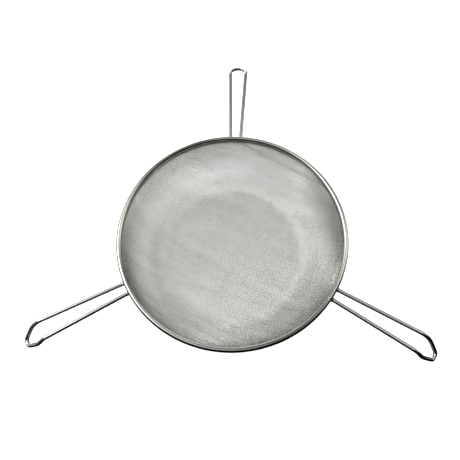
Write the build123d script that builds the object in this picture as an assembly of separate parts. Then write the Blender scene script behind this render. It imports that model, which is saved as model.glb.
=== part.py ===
from build123d import *
from math import cos, radians, sin
import os

# Double sieve strainer: two nested woven steel dishes clamped in one rolled rim, with three wire
# loop handles that hook over the edge of a honey tank. Millimetres, +Z up. The origin is the centre
# of the flat underside, and the first handle points along +Y.

# Rim
RIM_RADIUS = 117.3  # centre of the rolled bead
RIM_HEIGHT = 58.0  # bead centre above the underside
BEAD_RADIUS = 2.7  # outside of the rolled bead
STRIP_THICKNESS = 0.5  # sheet that is rolled into the rim
SKIRT_DEPTH = 5.8  # bottom of the strip's two legs below the bead centre
SEAM_ANGLE = 326.2  # where the ends of the strip meet, degrees from +X
SEAM_WIDTH = 0.3

# Sieves: the coarse one is the upper, the fine one the lower
COARSE_THICKNESS = 0.9
FINE_THICKNESS = 0.6
COARSE_FLOOR_TOP = 6.4  # upper face of the upper sieve's flat floor
COARSE_FLOOR_RADIUS = 79.0  # where the lower wall's slope would meet the floor
FINE_FLOOR_RADIUS = 82.5
COARSE_BEND_RADIUS = 108.0  # where the lower wall's slope would meet the upper wall's
FINE_BEND_RADIUS = 111.2
BEND_RISE = 19.5  # that place above the dish's floor
CORNER_RADIUS = 28.0  # floor to lower wall
BEND_RADIUS = 40.0  # lower wall to upper wall
SHOULDER_RADIUS = 9.0  # wall to the upright collar
SHOULDER_DROP = 11.0  # wall meets the collar's line this far below the bead centre

# Handles
HANDLE_COUNT = 3
FIRST_HANDLE = 90.0  # degrees from +X
WIRE_RADIUS = 2.0
BEND_REACH = 209.6  # where the legs turn down, from the centre
LEG_BASE_DROP = 1.7  # wire centre below the bead centre, at the rim
LEG_END_RISE = 0.6  # wire centre above the bead centre, at the bend
LEG_BASE_SPACING = 11.2
LEG_END_SPACING = 18.4
HOOK_ANGLE = 39.0  # below the horizontal
HOOK_LENGTH = 25.2
HOOK_SHOULDER = 10.5  # along the hook to its widest place
HOOK_SHOULDER_WIDTH = 19.0
HOOK_NOSE_WIDTH = 7.2  # between the two corners of the nose
HOOK_BEND_RADIUS = 10.0
HOOK_SIDE_RADIUS = 20.0
HOOK_NOSE_RADIUS = 3.6

# Worked out from those
HOOP_RADIUS = BEAD_RADIUS - STRIP_THICKNESS
SLOT_HALF = (COARSE_THICKNESS + FINE_THICKNESS) / 2
SKIRT_HALF = SLOT_HALF + STRIP_THICKNESS
COLLAR_FACE = RIM_RADIUS - SLOT_HALF + COARSE_THICKNESS  # where the two collars touch
COLLAR_TOP = RIM_HEIGHT - HOOP_RADIUS


def ring(section):
    """A full turn of a section drawn in the XZ plane."""
    return revolve(Plane.XZ * section, Axis.Z)


def dish(floor_z, floor_radius, bend_radius, collar_radius, thickness, side):
    """A dish with a flat floor, a wall that curves up and an upright collar, drawn along one of its faces."""
    shoulder_z = RIM_HEIGHT - SHOULDER_DROP
    face = FilletPolyline(
        (0, floor_z),
        (floor_radius, floor_z),
        (bend_radius, floor_z + BEND_RISE),
        (collar_radius, shoulder_z),
        (collar_radius, COLLAR_TOP),
        radius=[CORNER_RADIUS, BEND_RADIUS, SHOULDER_RADIUS],
    )
    outline = offset(Wire(face.edges()), amount=thickness, side=side, kind=Kind.INTERSECTION, closed=True)
    return ring(make_face(outline))


def rim_binding():
    """The strip: rolled round the hoop, with two legs that pinch the collars, open at its seam."""
    legs = Pos(0, -SKIRT_DEPTH / 2) * Rectangle(2 * SKIRT_HALF, SKIRT_DEPTH)
    slot = Pos(0, -SKIRT_DEPTH) * Rectangle(2 * SLOT_HALF, 2 * SKIRT_DEPTH)
    section = Circle(BEAD_RADIUS) + legs - Circle(HOOP_RADIUS) - slot
    section = Pos(RIM_RADIUS, RIM_HEIGHT) * section
    seam = Pos(RIM_RADIUS, 0, RIM_HEIGHT) * Box(30, SEAM_WIDTH, 30)
    return ring(section) - Rot(0, 0, SEAM_ANGLE) * seam


def rim_hoop():
    """The round wire inside the bead."""
    return ring(Pos(RIM_RADIUS, RIM_HEIGHT) * Circle(HOOP_RADIUS))


def rim_envelope():
    """The rim's outside and all that lies within it: what the handles' ends are cut to fit."""
    bead = Pos(RIM_RADIUS, RIM_HEIGHT) * Circle(BEAD_RADIUS)
    outside = RIM_RADIUS + SKIRT_HALF
    body = Pos(outside / 2, RIM_HEIGHT) * Rectangle(outside, 4 * SKIRT_DEPTH)
    return ring(bead + body)


def handle_path():
    """Centre line of a handle that points along +Y, from one foot round the hook to the other."""
    def on_hook(along, width, side):
        reach = BEND_REACH + along * cos(radians(HOOK_ANGLE))
        height = RIM_HEIGHT + LEG_END_RISE - along * sin(radians(HOOK_ANGLE))
        return (side * width / 2, reach, height)

    corners = []
    for side in (-1, 1):
        half = [
            (side * LEG_BASE_SPACING / 2, RIM_RADIUS, RIM_HEIGHT - LEG_BASE_DROP),
            on_hook(0, LEG_END_SPACING, side),
            on_hook(HOOK_SHOULDER, HOOK_SHOULDER_WIDTH, side),
            on_hook(HOOK_LENGTH, HOOK_NOSE_WIDTH, side),
        ]
        corners += half if side < 0 else half[::-1]
    half_radii = [HOOK_BEND_RADIUS, HOOK_SIDE_RADIUS, HOOK_NOSE_RADIUS]
    return FilletPolyline(*corners, radius=half_radii + half_radii[::-1])


def handle(angle):
    """One bent wire loop, its two feet coped to the rim."""
    path = handle_path()
    wire = sweep(Plane(path @ 0, z_dir=path % 0) * Circle(WIRE_RADIUS), path=path)
    wire = wire - rim_envelope()
    return Rot(0, 0, angle - 90) * wire


os.makedirs("parts", exist_ok=True)

parts = {
    "coarse_sieve": dish(
        COARSE_FLOOR_TOP,
        COARSE_FLOOR_RADIUS,
        COARSE_BEND_RADIUS,
        COLLAR_FACE - COARSE_THICKNESS,
        COARSE_THICKNESS,
        Side.RIGHT,
    ),
    "fine_sieve": dish(
        0, FINE_FLOOR_RADIUS, FINE_BEND_RADIUS, COLLAR_FACE + FINE_THICKNESS, FINE_THICKNESS, Side.LEFT
    ),
    "rim_binding": rim_binding(),
    "rim_hoop": rim_hoop(),
}
for number in range(HANDLE_COUNT):
    parts[f"handle_{number + 1}"] = handle(FIRST_HANDLE + number * 360 / HANDLE_COUNT)

for name, shape in parts.items():
    export_step(shape, f"parts/{name}.step")
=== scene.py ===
from math import cos, pi, radians, sin, tan

import bmesh
import bpy
import numpy as np
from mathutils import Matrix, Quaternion, Vector


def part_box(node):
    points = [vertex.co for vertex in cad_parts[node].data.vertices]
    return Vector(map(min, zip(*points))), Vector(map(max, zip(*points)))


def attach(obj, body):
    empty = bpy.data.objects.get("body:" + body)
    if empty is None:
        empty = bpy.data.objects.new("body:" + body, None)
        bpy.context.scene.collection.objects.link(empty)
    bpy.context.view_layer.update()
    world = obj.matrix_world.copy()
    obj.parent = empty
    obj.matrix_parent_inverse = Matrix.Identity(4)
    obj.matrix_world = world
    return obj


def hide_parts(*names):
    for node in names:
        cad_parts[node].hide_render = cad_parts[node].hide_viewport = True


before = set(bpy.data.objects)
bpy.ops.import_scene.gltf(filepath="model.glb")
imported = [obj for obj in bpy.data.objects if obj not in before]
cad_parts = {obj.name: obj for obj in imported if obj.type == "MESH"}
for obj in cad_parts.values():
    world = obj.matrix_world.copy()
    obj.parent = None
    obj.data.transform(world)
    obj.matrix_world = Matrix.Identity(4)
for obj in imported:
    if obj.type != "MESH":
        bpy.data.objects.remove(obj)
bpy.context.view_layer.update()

# ---------------------------------------------------------------- dimensions, in metres
MM = 0.001
ARC_STEP = 0.3 * MM

# What the frame gives
rim_low, rim_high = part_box("rim_binding")
coarse_low, coarse_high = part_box("coarse_sieve")
fine_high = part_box("fine_sieve")[1]

# Rim
BEAD_RADIUS = 2.7 * MM
STRIP = 0.5 * MM
OUTER_RADIUS = rim_high.x
RIM_RADIUS = OUTER_RADIUS - BEAD_RADIUS
RIM_Z = rim_high.z - BEAD_RADIUS
SKIRT_LOW = rim_low.z
COARSE_SHEET = 0.9 * MM
FINE_SHEET = 0.6 * MM
SLOT_HALF = (COARSE_SHEET + FINE_SHEET) / 2
SEAM_ANGLE = radians(326.2)
SEAM_GAP = 0.3 * MM
SEAM_STEP = 0.28 * MM
SEAM_STEP_LENGTH = 5 * MM
RIM_STEPS = 900
# Its unevenness, as waves round it: each one's height, how many go round, and its phase
RIM_SWAY = ((0.05 * MM, 3, 0.7), (0.03 * MM, 11, 0), (0.015 * MM, 29, 2))
RIM_HEAVE = ((0.04 * MM, 5, 1.9), (0.015 * MM, 23, 0))

# Dishes: the corners of their profile, and the radii that round them
CORNER_RADIUS = 28 * MM
BEND_RADIUS = 40 * MM
BEND_RISE = 19.5 * MM
SHOULDER_RADIUS = 9 * MM
SHOULDER_Z = RIM_Z - 11 * MM
COLLAR_TOP = RIM_Z - BEAD_RADIUS + STRIP
COARSE_FLOOR_RADIUS = 79 * MM
COARSE_BEND_RADIUS = 108 * MM
FINE_FLOOR_RADIUS = 82.5 * MM
FINE_BEND_RADIUS = 111.2 * MM
PROFILE_STEP = 0.25 * MM

# Weaves: each wire's tone is centred on WIRE_MIDDLE, 0 to 1, and tone 0 is WIRE_DARKEST of the steel's colour
WEAVE_ANGLE = radians(-30)
FINE_WEAVE_ANGLE = radians(-13)
COARSE_PITCH = 1.34 * MM
COARSE_WIRE = 0.39 * MM
FINE_PITCH = 0.75 * MM
FINE_WIRE = 0.21 * MM
FINE_SKIP = 4
WARP_SPACING_SPREAD = 0.03
WEFT_SPACING_SPREAD = 0.09
WARP_TONE_SPREAD = 0.34
WEFT_TONE_SPREAD = 0.11
WIRE_BUNDLES = ((1, 0.30), (3, 0.45), (6, 0.50), (13, 0.45))
WIRE_MIDDLE = 0.55
WIRE_DARKEST = 0.52

# Handles
HANDLE_COUNT = 3
FIRST_HANDLE = 90
WIRE_RADIUS = 2.0 * MM
WIRE_SIDES = 20
WIRE_STEP = 0.6 * MM
FOOT_DEPTH = 1.2 * MM
BEND_REACH = 209.6 * MM
LEG_BASE_DROP = 1.7 * MM
LEG_END_RISE = 0.6 * MM
LEG_BASE_SPACING = 11.2 * MM
LEG_END_SPACING = 18.4 * MM
HOOK_ANGLE = radians(39)
HOOK_LENGTH = 25.2 * MM
HOOK_SHOULDER = 10.5 * MM
HOOK_SHOULDER_WIDTH = 19.0 * MM
HOOK_NOSE_WIDTH = 7.2 * MM
HOOK_RADII = (10 * MM, 20 * MM, 3.6 * MM)
WELD_LENGTH = 2.0 * MM
WELD_HEIGHT = 0.65 * MM
WELD_DEPTH = 1.6 * MM
WELD_ROOT = 0.6 * MM
WELD_SINK = 0.12 * MM
WELD_STEP = 0.25 * MM
WELD_SIDES = 24
WELD_ROUGHNESS = 0.025
WELD_LUMPS = 0.04
WELD_SEED = 40

# Camera: azimuth round from the side opposite the first handle, in degrees
CAMERA_AZIMUTH = 5.8
CAMERA_ELEVATION = 67.2
CAMERA_ROLL = -3.92
CAMERA_DISTANCE = 4.278 * OUTER_RADIUS
CAMERA_AIM = Vector((-0.0161 * OUTER_RADIUS, 0.0464 * OUTER_RADIUS, RIM_Z))
LENS = 38.6

# Light: for each soft light its azimuth from +X and its elevation in degrees, its tightness and its strength
ROOM_LIGHT = 0.004
SOFT_LIGHTS = {
    "low_back_glow": (104, -13, 10.3, 2.61),
    "back_window": (73, 27, 26, 1.45),
    "high_left_window": (162, 55.5, 27, 6.6),
    "left_lamp": (185, 11, 20, 0.62),
    "low_left_glow": (151, 6, 11.2, 0.93),
    "high_right_lamp": (32, 59, 38, 2.2),
    "right_lamp": (21, 17, 31, 2.0),
    "right_glow": (8, 41, 29, 0.16),
    "overhead_glow": (234, 77, 26, 0.85),
}
PAPER_SIZE = 6.0
PAPER_GAP = 0.2 * MM
PAPER_GLOW = 0.95


# ---------------------------------------------------------------- materials
def new_material(name):
    """An empty node material with one Principled shader."""
    mat = bpy.data.materials.new(name)
    mat.use_nodes = True
    nodes = mat.node_tree.nodes
    nodes.clear()
    out = nodes.new("ShaderNodeOutputMaterial")
    shader = nodes.new("ShaderNodeBsdfPrincipled")
    mat.node_tree.links.new(shader.outputs[0], out.inputs[0])
    return mat, shader


def add_noise(mat, scale, detail):
    """Noise in object space."""
    nodes = mat.node_tree.nodes
    place = nodes.new("ShaderNodeTexCoord")
    noise = nodes.new("ShaderNodeTexNoise")
    noise.inputs["Scale"].default_value = scale
    noise.inputs["Detail"].default_value = detail
    mat.node_tree.links.new(place.outputs["Object"], noise.inputs["Vector"])
    return noise.outputs["Fac"]


def add_ramp(mat, value, *stops):
    """A ramp between two colours: each stop is a place and its colour."""
    ramp = mat.node_tree.nodes.new("ShaderNodeValToRGB")
    for point, (place, colour) in zip(ramp.color_ramp.elements, stops):
        point.position = place
        point.color = (*colour, 1)
    mat.node_tree.links.new(value, ramp.inputs[0])
    return ramp.outputs["Color"]


def add_range(mat, value, low, high):
    """Maps 0 to 1 onto low to high."""
    node = mat.node_tree.nodes.new("ShaderNodeMapRange")
    node.inputs["To Min"].default_value = low
    node.inputs["To Max"].default_value = high
    mat.node_tree.links.new(value, node.inputs["Value"])
    return node.outputs[0]


def add_bump(mat, shader, value, strength, distance):
    """Bump from a value, in metres."""
    node = mat.node_tree.nodes.new("ShaderNodeBump")
    node.inputs["Strength"].default_value = strength
    node.inputs["Distance"].default_value = distance
    mat.node_tree.links.new(value, node.inputs["Height"])
    mat.node_tree.links.new(node.outputs[0], shader.inputs["Normal"])


def steel(name, dark, light, rough_low, rough_high, patch_scale, grain_scale, grain_depth):
    """Bare stainless steel: soft tone patches, uneven polish and, where grain_depth isn't 0, a fine grain."""
    mat, shader = new_material(name)
    shader.inputs["Metallic"].default_value = 1.0
    links = mat.node_tree.links
    patches = add_noise(mat, patch_scale, 3)
    links.new(add_ramp(mat, patches, (0.3, dark), (0.7, light)), shader.inputs["Base Color"])
    polish = add_noise(mat, patch_scale * 3, 4)
    links.new(add_range(mat, polish, rough_low, rough_high), shader.inputs["Roughness"])
    if grain_depth:
        add_bump(mat, shader, add_noise(mat, grain_scale, 2), 0.3, grain_depth)
    return mat


def woven_steel_with_painted_light(name, dark, light, rough_low, rough_high):
    """Stainless wire whose tone changes from wire to wire and in soft patches. The colours it is given below
    are painted light: far lighter than the rim's and handles' steel, standing in for the extra light the mesh
    catches.
    """
    mat = steel(name, dark, light, rough_low, rough_high, patch_scale=18, grain_scale=0, grain_depth=0)
    nodes, links = mat.node_tree.nodes, mat.node_tree.links
    shader = next(n for n in nodes if n.type == "BSDF_PRINCIPLED")
    patches = shader.inputs["Base Color"].links[0].from_socket
    wire = nodes.new("ShaderNodeAttribute")
    wire.attribute_name = "wire_tone"
    gain = add_range(mat, wire.outputs["Fac"], WIRE_DARKEST, 1)
    scaled = nodes.new("ShaderNodeVectorMath")
    scaled.operation = "SCALE"
    links.new(patches, scaled.inputs[0])
    links.new(gain, scaled.inputs["Scale"])
    links.new(scaled.outputs[0], shader.inputs["Base Color"])
    return mat


def floor_material():
    """Matt white paper."""
    mat, shader = new_material("pale_paper")
    shader.inputs["Roughness"].default_value = 0.9
    shader.inputs["Specular IOR Level"].default_value = 0.1
    tone = add_ramp(mat, add_noise(mat, 6, 2), (0.35, (0.90, 0.90, 0.895)), (0.65, (0.915, 0.915, 0.91)))
    mat.node_tree.links.new(tone, shader.inputs["Base Color"])
    shader.inputs["Emission Color"].default_value = (1, 1, 1, 1)
    shader.inputs["Emission Strength"].default_value = PAPER_GLOW
    return mat


# ---------------------------------------------------------------- mesh helpers
def add_mesh(name, vertices, faces, material, smooth=True):
    """A mesh object from numpy arrays of points and quads."""
    mesh = bpy.data.meshes.new(name)
    vertices = np.asarray(vertices, np.float32)
    faces = np.asarray(faces, np.int32)
    count, corners = faces.shape
    mesh.vertices.add(len(vertices))
    mesh.vertices.foreach_set("co", vertices.ravel())
    mesh.loops.add(count * corners)
    mesh.loops.foreach_set("vertex_index", faces.ravel())
    mesh.polygons.add(count)
    mesh.polygons.foreach_set("loop_start", np.arange(0, count * corners, corners, dtype=np.int32))
    mesh.polygons.foreach_set("loop_total", np.full(count, corners, np.int32))
    mesh.update(calc_edges=True)
    mesh.validate()
    mesh.polygons.foreach_set("use_smooth", np.full(count, smooth))
    mesh.materials.append(material)
    obj = bpy.data.objects.new(name, mesh)
    bpy.context.scene.collection.objects.link(obj)
    return obj


def filleted(points, radii, step):
    """A path through points with rounded corners; arcs have a point about every step."""
    points = [np.array(p, float) for p in points]
    out = [points[0]]
    for before, corner, after, radius in zip(points, points[1:], points[2:], radii):
        back = (before - corner) / np.linalg.norm(before - corner)
        ahead = (after - corner) / np.linalg.norm(after - corner)
        half = np.arccos(np.clip(back @ ahead, -1, 1)) / 2
        centre = corner + (back + ahead) / np.linalg.norm(back + ahead) * radius / sin(half)
        start = corner + back * radius / tan(half) - centre
        end = corner + ahead * radius / tan(half) - centre
        turn = pi - 2 * half
        count = max(2, int(np.ceil(turn * radius / step)))
        for k in range(count + 1):
            a = turn * k / count
            out.append(centre + (sin(turn - a) * start + sin(a) * end) / sin(turn))
    out.append(points[-1])
    return np.array(out)


def resampled(path, step):
    """The same path with points at even steps."""
    lengths = np.r_[0, np.cumsum(np.linalg.norm(np.diff(path, axis=0), axis=1))]
    count = max(2, int(round(lengths[-1] / step)) + 1)
    at = np.linspace(0, lengths[-1], count)
    return np.stack([np.interp(at, lengths, path[:, k]) for k in range(path.shape[1])], 1)


# ---------------------------------------------------------------- woven dishes
class Dish:
    """The middle surface of a dish, as the curve of its meridian against the distance along it."""

    def __init__(self, floor_z, floor_radius, bend_radius, collar_radius):
        corners = [
            (0, floor_z),
            (floor_radius, floor_z),
            (bend_radius, floor_z + BEND_RISE),
            (collar_radius, SHOULDER_Z),
            (collar_radius, COLLAR_TOP),
        ]
        curve = filleted(corners, (CORNER_RADIUS, BEND_RADIUS, SHOULDER_RADIUS), ARC_STEP)
        self.curve = resampled(curve, PROFILE_STEP)
        steps = np.linalg.norm(np.diff(self.curve, axis=0), axis=1)
        self.along = np.r_[0, np.cumsum(steps)]
        self.length = self.along[-1]
        slope = np.gradient(self.curve, self.along, axis=0)
        self.slope = slope / np.linalg.norm(slope, axis=1, keepdims=True)

    def point(self, q):
        """Places in space for places on the unrolled surface, which goes straight up past the collar."""
        s = np.maximum(np.hypot(q[..., 0], q[..., 1]), 1e-9)
        r = np.interp(s, self.along, self.curve[:, 0])
        z = np.interp(s, self.along, self.curve[:, 1]) + np.maximum(s - self.length, 0)
        return np.stack([q[..., 0] / s * r, q[..., 1] / s * r, z], -1)

    def normal(self, q):
        """The upward or inward normal."""
        s = np.maximum(np.hypot(q[..., 0], q[..., 1]), 1e-9)
        dr = np.interp(s, self.along, self.slope[:, 0])
        dz = np.interp(s, self.along, self.slope[:, 1])
        return np.stack([-dz * q[..., 0] / s, -dz * q[..., 1] / s, dr], -1)


def drape_quadrant(dish, steps_u, steps_v):
    """Lays a net that can't stretch over a quarter of the dish, from its two straight edges outwards."""
    nu, nv = len(steps_u) + 1, len(steps_v) + 1
    net = np.full((nu, nv, 2), np.nan)
    net[:, 0] = np.c_[np.r_[0, np.cumsum(steps_u)], np.zeros(nu)]
    net[0, :] = np.c_[np.zeros(nv), np.r_[0, np.cumsum(steps_v)]]
    reach = dish.length * 1.01
    for diagonal in range(2, nu + nv - 1):
        i = np.arange(max(1, diagonal - nv + 1), min(nu - 1, diagonal - 1) + 1)
        j = diagonal - i
        from_u, from_v, from_both = net[i - 1, j], net[i, j - 1], net[i - 1, j - 1]
        live = np.isfinite(from_u[:, 0]) & np.isfinite(from_v[:, 0]) & np.isfinite(from_both[:, 0])
        i, j = i[live], j[live]
        if not len(i):
            break
        a, b = dish.point(from_u[live]), dish.point(from_v[live])
        want = np.stack([steps_u[i - 1] ** 2, steps_v[j - 1] ** 2], -1)
        q = from_u[live] + from_v[live] - from_both[live]

        def miss(q):
            p = dish.point(q)
            return np.stack([((p - a) ** 2).sum(-1), ((p - b) ** 2).sum(-1)], -1) - want

        tiny = 1e-6
        for _ in range(5):
            f = miss(q)
            fx = (miss(q + [tiny, 0]) - f) / tiny
            fy = (miss(q + [0, tiny]) - f) / tiny
            det = fx[:, 0] * fy[:, 1] - fy[:, 0] * fx[:, 1]
            det = np.where(np.abs(det) < 1e-12, 1e-12, det)
            dx = (f[:, 0] * fy[:, 1] - fy[:, 0] * f[:, 1]) / det
            dy = (fx[:, 0] * f[:, 1] - f[:, 0] * fx[:, 1]) / det
            q = q - np.clip(np.stack([dx, dy], -1), -0.5 * MM, 0.5 * MM)
        q[np.hypot(q[:, 0], q[:, 1]) > reach] = np.nan
        net[i, j] = q
    return net


def lay_net(dish, pitch, uneven_u, uneven_v, draped, seed):
    """Where each pair of wires crosses, on the unrolled surface, unevenly spaced; nan outside the dish."""
    rng = np.random.default_rng(seed)
    count = int(dish.length / pitch) + 2

    def spacing(uneven):
        slow = np.convolve(rng.normal(0, 1, count + 8), np.ones(9) / 3, "valid")
        return pitch * (1 + uneven * (0.3 * rng.normal(0, 1, count) + 0.9 * slow))

    u = {side: spacing(uneven_u) for side in (-1, 1)}
    v = {side: spacing(uneven_v) for side in (-1, 1)}
    net = np.full((2 * count + 1, 2 * count + 1, 2), np.nan)
    for side_u in (-1, 1):
        for side_v in (-1, 1):
            if draped:
                quarter = drape_quadrant(dish, u[side_u], v[side_v])
            else:
                places = np.r_[0, np.cumsum(u[side_u])], np.r_[0, np.cumsum(v[side_v])]
                quarter = np.stack(np.meshgrid(*places, indexing="ij"), -1)
                quarter[np.hypot(quarter[..., 0], quarter[..., 1]) > dish.length] = np.nan
            rows = count + side_u * np.arange(count + 1)
            columns = count + side_v * np.arange(count + 1)
            net[np.ix_(rows, columns)] = quarter * [side_u, side_v]
    return net


def wires(dish, net, angle, radius, lift, skip, tone):
    """One family of wires along the net's first index: square tubes, lifted at each crossing."""
    sides = 4
    turn = np.array([[cos(angle), sin(angle)], [-sin(angle), cos(angle)]])
    vertices, faces, tones, start = [], [], [], 0
    for j in range(net.shape[1]):
        inside = np.flatnonzero(np.isfinite(net[:, j, 0]))
        if len(inside) < 3:
            continue
        i = inside
        if skip > 1:
            i = np.unique(np.r_[inside[0], inside[inside % skip == 0], inside[-1]])
        q = net[i, j] @ turn
        centre, up = dish.point(q), dish.normal(q)
        centre = centre + up * lift(i, j)[:, None]
        ahead = np.gradient(centre, axis=0)
        ahead /= np.linalg.norm(ahead, axis=1, keepdims=True)
        across = np.cross(ahead, up)
        across /= np.linalg.norm(across, axis=1, keepdims=True)
        rise = np.cross(across, ahead)
        around = (np.arange(sides) + 0.5) * 2 * pi / sides
        ring = (
            centre[:, None]
            + radius * np.cos(around)[None, :, None] * across[:, None]
            + radius * np.sin(around)[None, :, None] * rise[:, None]
        )
        vertices.append(ring.reshape(-1, 3))
        n = len(i)
        tones.append(np.full(n * sides, tone[j]))
        first = start + np.arange(n - 1)[:, None] * sides + np.arange(sides)
        second = start + np.arange(n - 1)[:, None] * sides + (np.arange(sides) + 1) % sides
        faces.append(np.stack([first, first + sides, second + sides, second], -1).reshape(-1, 4))
        last = start + (n - 1) * sides
        near_cap = [start, start + 1, start + 2, start + 3]
        far_cap = [last + 3, last + 2, last + 1, last]
        faces.append(np.array([near_cap, far_cap]))
        start += n * sides
    return np.concatenate(vertices), np.concatenate(faces), np.concatenate(tones)


def wire_tones(count, spread, seed):
    """How bright each wire is, 0 to 1: every wire differs a little, and so do bundles of neighbours."""
    rng = np.random.default_rng(seed)
    tone = np.zeros(count)
    for bundle, share in WIRE_BUNDLES:
        noise = rng.normal(0, 1, count + bundle - 1)
        tone += share * np.convolve(noise, np.ones(bundle) / np.sqrt(bundle), "valid")
    return np.clip(WIRE_MIDDLE + spread * tone, 0, 1)


def woven_dish(node, dish, pitch, wire, angle, crimped, skip, material, seed):
    """Both families of wires of a dish, each as two pieces, one for each half.

    Crimped wires are draped over the dish and go over and under each other. The others are two straight
    layers, with a point only at every skip-th crossing.
    """
    net = lay_net(dish, pitch, WARP_SPACING_SPREAD, WEFT_SPACING_SPREAD, crimped, seed)
    radius = wire / 2
    middle = net.shape[1] // 2
    families = (("warp", net, 1, WARP_TONE_SPREAD), ("weft", net.transpose(1, 0, 2), -1, WEFT_TONE_SPREAD))
    for family, grid, sign, spread in families:

        def lift(i, j):
            if crimped:
                return radius * sign * np.where((i + j) % 2 == 0, 1.0, -1.0)
            return np.full(len(i), radius * sign)

        tone = wire_tones(grid.shape[1], spread, seed + sign)
        for half, first, last in (("a", 0, middle), ("b", middle, grid.shape[1])):
            vertices, faces, tones = wires(
                dish, grid[:, first:last], angle, radius, lambda i, j: lift(i, j + first), skip,
                tone[first:last],
            )
            obj = add_mesh(f"{node}_{family}_{half}", vertices, faces, material)
            obj.data.attributes.new("wire_tone", "FLOAT", "POINT").data.foreach_set("value", tones)
            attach(obj, "root")
    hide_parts(node)


# ---------------------------------------------------------------- rim
def rim_section():
    """The rolled strip's outline, anticlockwise: out over the bead, down the outer leg and back up inside."""
    inner = BEAD_RADIUS - STRIP
    leg_out = SLOT_HALF + STRIP
    depth = RIM_Z - SKIRT_LOW
    lip = STRIP / 2
    start = np.arcsin(leg_out / BEAD_RADIUS)
    outside = [(sin(a) * BEAD_RADIUS, -cos(a) * BEAD_RADIUS) for a in np.linspace(start, 2 * pi - start, 41)]
    down_in = [(-leg_out, z) for z in np.linspace(-depth * 0.45, -depth + lip, 5)]
    lip_in = [(-leg_out + lip - lip * cos(a), -depth + lip - lip * sin(a)) for a in np.linspace(0.4, pi, 6)]
    up_in = [(-SLOT_HALF, z) for z in np.linspace(-depth * 0.8, -inner * 1.02, 4)]
    begin = np.arcsin(SLOT_HALF / inner)
    inside = [(-sin(a) * inner, -cos(a) * inner) for a in np.linspace(begin, 2 * pi - begin, 25)]
    mirrored = [(-x, z) for x, z in (down_in + lip_in + up_in)][::-1]
    return np.array(outside + down_in + lip_in + up_in + inside + mirrored)


def waves(rows, angle):
    """The sum of a few waves round the rim."""
    return sum(height * sin(count * angle + phase) for height, count, phase in rows)


def rim_piece(material):
    """The strip swept round from one side of its seam to the other, a little uneven, as rolled sheet is."""
    section = rim_section()
    gap = SEAM_GAP / RIM_RADIUS
    angles = np.linspace(SEAM_ANGLE + gap / 2, SEAM_ANGLE + 2 * pi - gap / 2, RIM_STEPS)
    rings = []
    for angle in angles:
        past_seam = (angle - SEAM_ANGLE) * RIM_RADIUS
        step = SEAM_STEP * np.exp(-((past_seam / SEAM_STEP_LENGTH) ** 2))
        r = RIM_RADIUS + section[:, 0] + waves(RIM_SWAY, angle) + step
        z = RIM_Z + section[:, 1] + waves(RIM_HEAVE, angle)
        rings.append(np.c_[r * cos(angle), r * sin(angle), z])
    vertices = np.concatenate(rings)
    n = len(section)
    first = np.arange(RIM_STEPS - 1)[:, None] * n + np.arange(n)
    second = np.arange(RIM_STEPS - 1)[:, None] * n + (np.arange(n) + 1) % n
    faces = np.stack([first, second, second + n, first + n], -1).reshape(-1, 4)
    obj = add_mesh("rim_strip", vertices, faces, material)
    shape = bmesh.new()
    shape.from_mesh(obj.data)
    shape.verts.ensure_lookup_table()
    shape.faces.new([shape.verts[k] for k in range(n)])
    shape.faces.new([shape.verts[(RIM_STEPS - 1) * n + k] for k in reversed(range(n))])
    bmesh.ops.recalc_face_normals(shape, faces=shape.faces)
    shape.to_mesh(obj.data)
    shape.free()
    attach(obj, "root")
    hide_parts("rim_binding")


# ---------------------------------------------------------------- handles
def handle_path():
    """Centre line of a handle along +Y, foot to foot."""
    def on_hook(along, width, side):
        reach = BEND_REACH + along * cos(HOOK_ANGLE)
        height = RIM_Z + LEG_END_RISE - along * sin(HOOK_ANGLE)
        return (side * width / 2, reach, height)

    corners = []
    for side in (-1, 1):
        half = [
            (side * LEG_BASE_SPACING / 2, RIM_RADIUS, RIM_Z - LEG_BASE_DROP),
            on_hook(0, LEG_END_SPACING, side),
            on_hook(HOOK_SHOULDER, HOOK_SHOULDER_WIDTH, side),
            on_hook(HOOK_LENGTH, HOOK_NOSE_WIDTH, side),
        ]
        corners += half if side < 0 else half[::-1]
    return resampled(filleted(corners, HOOK_RADII + HOOK_RADII[::-1], ARC_STEP), WIRE_STEP)


def turned(vertices, angle):
    """Points of a handle along +Y, turned to its place round the rim."""
    c, s = cos(angle - pi / 2), sin(angle - pi / 2)
    return vertices @ np.array([[c, s, 0], [-s, c, 0], [0, 0, 1]])


def tube(path, radii, sides):
    """Vertices and quads of a tube that doesn't twist, with both ends closed."""
    ahead = np.gradient(path, axis=0)
    ahead /= np.linalg.norm(ahead, axis=1, keepdims=True)
    up = np.array([0.0, 0.0, 1.0])
    rings = []
    for centre, way, radius in zip(path, ahead, radii):
        across = np.cross(way, up)
        across /= np.linalg.norm(across)
        up = np.cross(across, way)
        a = np.arange(sides)[:, None] * 2 * pi / sides
        rings.append(centre + radius * (np.cos(a) * across + np.sin(a) * up))
    n = len(path)
    first = np.arange(n - 1)[:, None] * sides + np.arange(sides)
    second = np.arange(n - 1)[:, None] * sides + (np.arange(sides) + 1) % sides
    walls = np.stack([first, first + sides, second + sides, second], -1).reshape(-1, 4)
    caps = []
    last = (n - 1) * sides
    for k in range(1, sides - 1, 2):
        caps.append((0, k, k + 1, k + 2))
        caps.append((last + k + 2, last + k + 1, last + k, last))
    return np.concatenate(rings), np.concatenate([walls, caps])


def handle_piece(number, angle, material):
    """One wire loop, its feet just inside the rim."""
    path = handle_path()
    path = path[path[:, 1] > OUTER_RADIUS - FOOT_DEPTH]
    vertices, faces = tube(path, np.full(len(path), WIRE_RADIUS), WIRE_SIDES)
    obj = add_mesh(f"handle_wire_{number}", turned(vertices, angle), faces, material)
    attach(obj, "root")
    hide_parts(f"handle_{number}")


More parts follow.
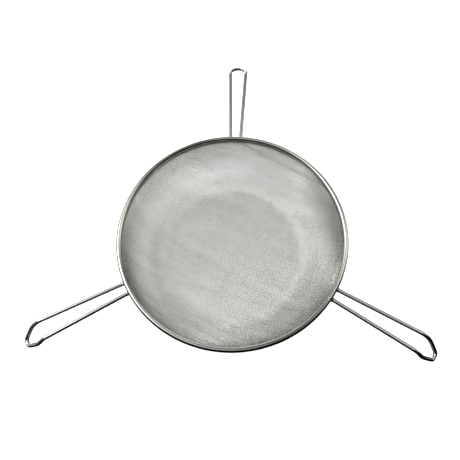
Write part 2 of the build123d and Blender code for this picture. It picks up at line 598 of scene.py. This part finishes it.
def weld_piece(number, angle, material):
    """The two small collars of weld where a handle's feet meet the rim."""
    rng = np.random.default_rng(WELD_SEED + number)
    path = resampled(handle_path(), WELD_STEP)
    vertices, faces, start = [], [], 0
    for side in (-1, 1):
        near_rim = (path[:, 1] > OUTER_RADIUS - WELD_DEPTH) & (path[:, 1] < OUTER_RADIUS + WELD_LENGTH)
        foot = path[(path[:, 0] * side > 0) & near_rim]
        foot = foot[np.argsort(foot[:, 1])]
        out = np.clip((foot[:, 1] - OUTER_RADIUS + WELD_ROOT) / (WELD_LENGTH + WELD_ROOT), 0, 1)
        radii = WIRE_RADIUS + WELD_HEIGHT * (1 - out) ** 1.6 - WELD_SINK * out**6
        radii = radii * (1 + WELD_ROUGHNESS * rng.normal(0, 1, len(foot)))
        ring_points, ring_faces = tube(foot, radii, WELD_SIDES)
        turn = np.arctan2(ring_points[:, 2] - foot[0, 2], ring_points[:, 0] - foot[0, 0])
        lumps = 1 + WELD_LUMPS * np.sin(3 * turn + side)
        centre = np.repeat(foot, WELD_SIDES, axis=0)
        ring_points = centre + (ring_points - centre) * lumps[:, None]
        vertices.append(ring_points)
        faces.append(ring_faces + start)
        start += len(ring_points)
    vertices = turned(np.concatenate(vertices), angle)
    obj = add_mesh(f"handle_weld_{number}", vertices, np.concatenate(faces), material)
    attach(obj, "root")


# ---------------------------------------------------------------- the object
# Painted light: both woven steels are far lighter than the same steel of the rim and handles, standing in for
# the extra light the mesh catches.
coarse_steel_painted_light = woven_steel_with_painted_light("woven_steel_with_painted_light", (0.93, 0.93, 0.855), (0.965, 0.965, 0.90), 0.19, 0.29)
fine_steel_painted_light = woven_steel_with_painted_light("fine_woven_steel_painted_light", (0.84, 0.84, 0.77), (0.92, 0.92, 0.86), 0.24, 0.34)
rim_steel = steel(
    "rolled_strip_steel", (0.56, 0.555, 0.515), (0.67, 0.665, 0.63), 0.07, 0.14,
    patch_scale=25, grain_scale=900, grain_depth=0.012 * MM,
)
wire_steel = steel(
    "polished_wire_steel", (0.58, 0.575, 0.55), (0.69, 0.685, 0.66), 0.05, 0.12,
    patch_scale=40, grain_scale=1400, grain_depth=0.01 * MM,
)
weld_steel = steel(
    "weld_steel", (0.26, 0.245, 0.215), (0.50, 0.485, 0.45), 0.18, 0.36,
    patch_scale=420, grain_scale=1800, grain_depth=0.05 * MM,
)

coarse_dish = Dish(
    coarse_low.z + COARSE_SHEET / 2, COARSE_FLOOR_RADIUS, COARSE_BEND_RADIUS, coarse_high.x - COARSE_SHEET / 2
)
fine_dish = Dish(FINE_SHEET / 2, FINE_FLOOR_RADIUS, FINE_BEND_RADIUS, fine_high.x - FINE_SHEET / 2)
woven_dish(
    "coarse_sieve", coarse_dish, COARSE_PITCH, COARSE_WIRE, WEAVE_ANGLE,
    crimped=True, skip=1, material=coarse_steel_painted_light, seed=11,
)
woven_dish(
    "fine_sieve", fine_dish, FINE_PITCH, FINE_WIRE, FINE_WEAVE_ANGLE,
    crimped=False, skip=FINE_SKIP, material=fine_steel_painted_light, seed=23,
)
rim_piece(rim_steel)
for number in range(HANDLE_COUNT):
    azimuth = radians(FIRST_HANDLE + number * 360 / HANDLE_COUNT)
    handle_piece(number + 1, azimuth, wire_steel)
    weld_piece(number + 1, azimuth, weld_steel)
for material_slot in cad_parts["rim_hoop"].material_slots:
    material_slot.material = wire_steel


# ---------------------------------------------------------------- floor, light and camera
def add_floor():
    """A sheet of bright paper just under the strainer, left out of its reflections."""
    size = PAPER_SIZE
    corners = [(-size, -size, 0), (size, -size, 0), (size, size, 0), (-size, size, 0)]
    floor = add_mesh("floor", corners, [(0, 1, 2, 3)], floor_material(), smooth=False)
    floor.location.z = -PAPER_GAP
    floor.visible_glossy = False


def soft_light(nodes, links, azimuth, elevation, tightness, strength):
    """A soft patch of light in the sky: brightest in one direction and fading round it."""
    a, e = radians(azimuth), radians(elevation)
    sky = nodes.new("ShaderNodeTexCoord").outputs["Generated"]
    dot = nodes.new("ShaderNodeVectorMath")
    dot.operation = "DOT_PRODUCT"
    dot.inputs[1].default_value = (cos(e) * cos(a), cos(e) * sin(a), sin(e))
    links.new(sky, dot.inputs[0])
    fade = nodes.new("ShaderNodeMath")
    fade.operation = "MULTIPLY_ADD"
    fade.inputs[1].default_value = tightness
    fade.inputs[2].default_value = -tightness
    links.new(dot.outputs["Value"], fade.inputs[0])
    bell = nodes.new("ShaderNodeMath")
    bell.operation = "EXPONENT"
    links.new(fade.outputs[0], bell.inputs[0])
    scaled = nodes.new("ShaderNodeMath")
    scaled.operation = "MULTIPLY"
    scaled.inputs[1].default_value = strength
    links.new(bell.outputs[0], scaled.inputs[0])
    return scaled.outputs[0]


def add_world():
    """A dark studio with soft patches of light; plain white where the camera sees it."""
    world = bpy.data.worlds.new("studio")
    bpy.context.scene.world = world
    world.use_nodes = True
    nodes, links = world.node_tree.nodes, world.node_tree.links
    nodes.clear()
    total = None
    for azimuth, elevation, tightness, strength in SOFT_LIGHTS.values():
        patch = soft_light(nodes, links, azimuth, elevation, tightness, strength)
        add = nodes.new("ShaderNodeMath")
        add.inputs[1].default_value = ROOM_LIGHT
        if total is not None:
            links.new(total, add.inputs[1])
        links.new(patch, add.inputs[0])
        total = add.outputs[0]
    path = nodes.new("ShaderNodeLightPath")
    seen = nodes.new("ShaderNodeMix")
    seen.data_type = "FLOAT"
    links.new(path.outputs["Is Camera Ray"], seen.inputs[0])
    links.new(total, seen.inputs[2])
    seen.inputs[3].default_value = 1.0
    background = nodes.new("ShaderNodeBackground")
    background.inputs["Color"].default_value = (1, 1, 1, 1)
    links.new(seen.outputs[0], background.inputs["Strength"])
    out = nodes.new("ShaderNodeOutputWorld")
    links.new(background.outputs[0], out.inputs[0])


def add_camera():
    """The photograph's viewing angle, with its small roll."""
    data = bpy.data.cameras.new("camera")
    data.sensor_width = 36
    data.lens = LENS
    data.clip_start = 0.01
    camera = bpy.data.objects.new("camera", data)
    bpy.context.scene.collection.objects.link(camera)
    a, e = radians(CAMERA_AZIMUTH), radians(CAMERA_ELEVATION)
    back = Vector((sin(a) * cos(e), -cos(a) * cos(e), sin(e)))
    camera.location = CAMERA_AIM + back * CAMERA_DISTANCE
    camera.rotation_mode = "QUATERNION"
    roll = Quaternion((0, 0, 1), radians(CAMERA_ROLL))
    camera.rotation_quaternion = (-back).to_track_quat("-Z", "Y") @ roll
    bpy.context.scene.camera = camera


add_floor()
add_world()
add_camera()
bpy.context.scene.view_settings.view_transform = "Standard"
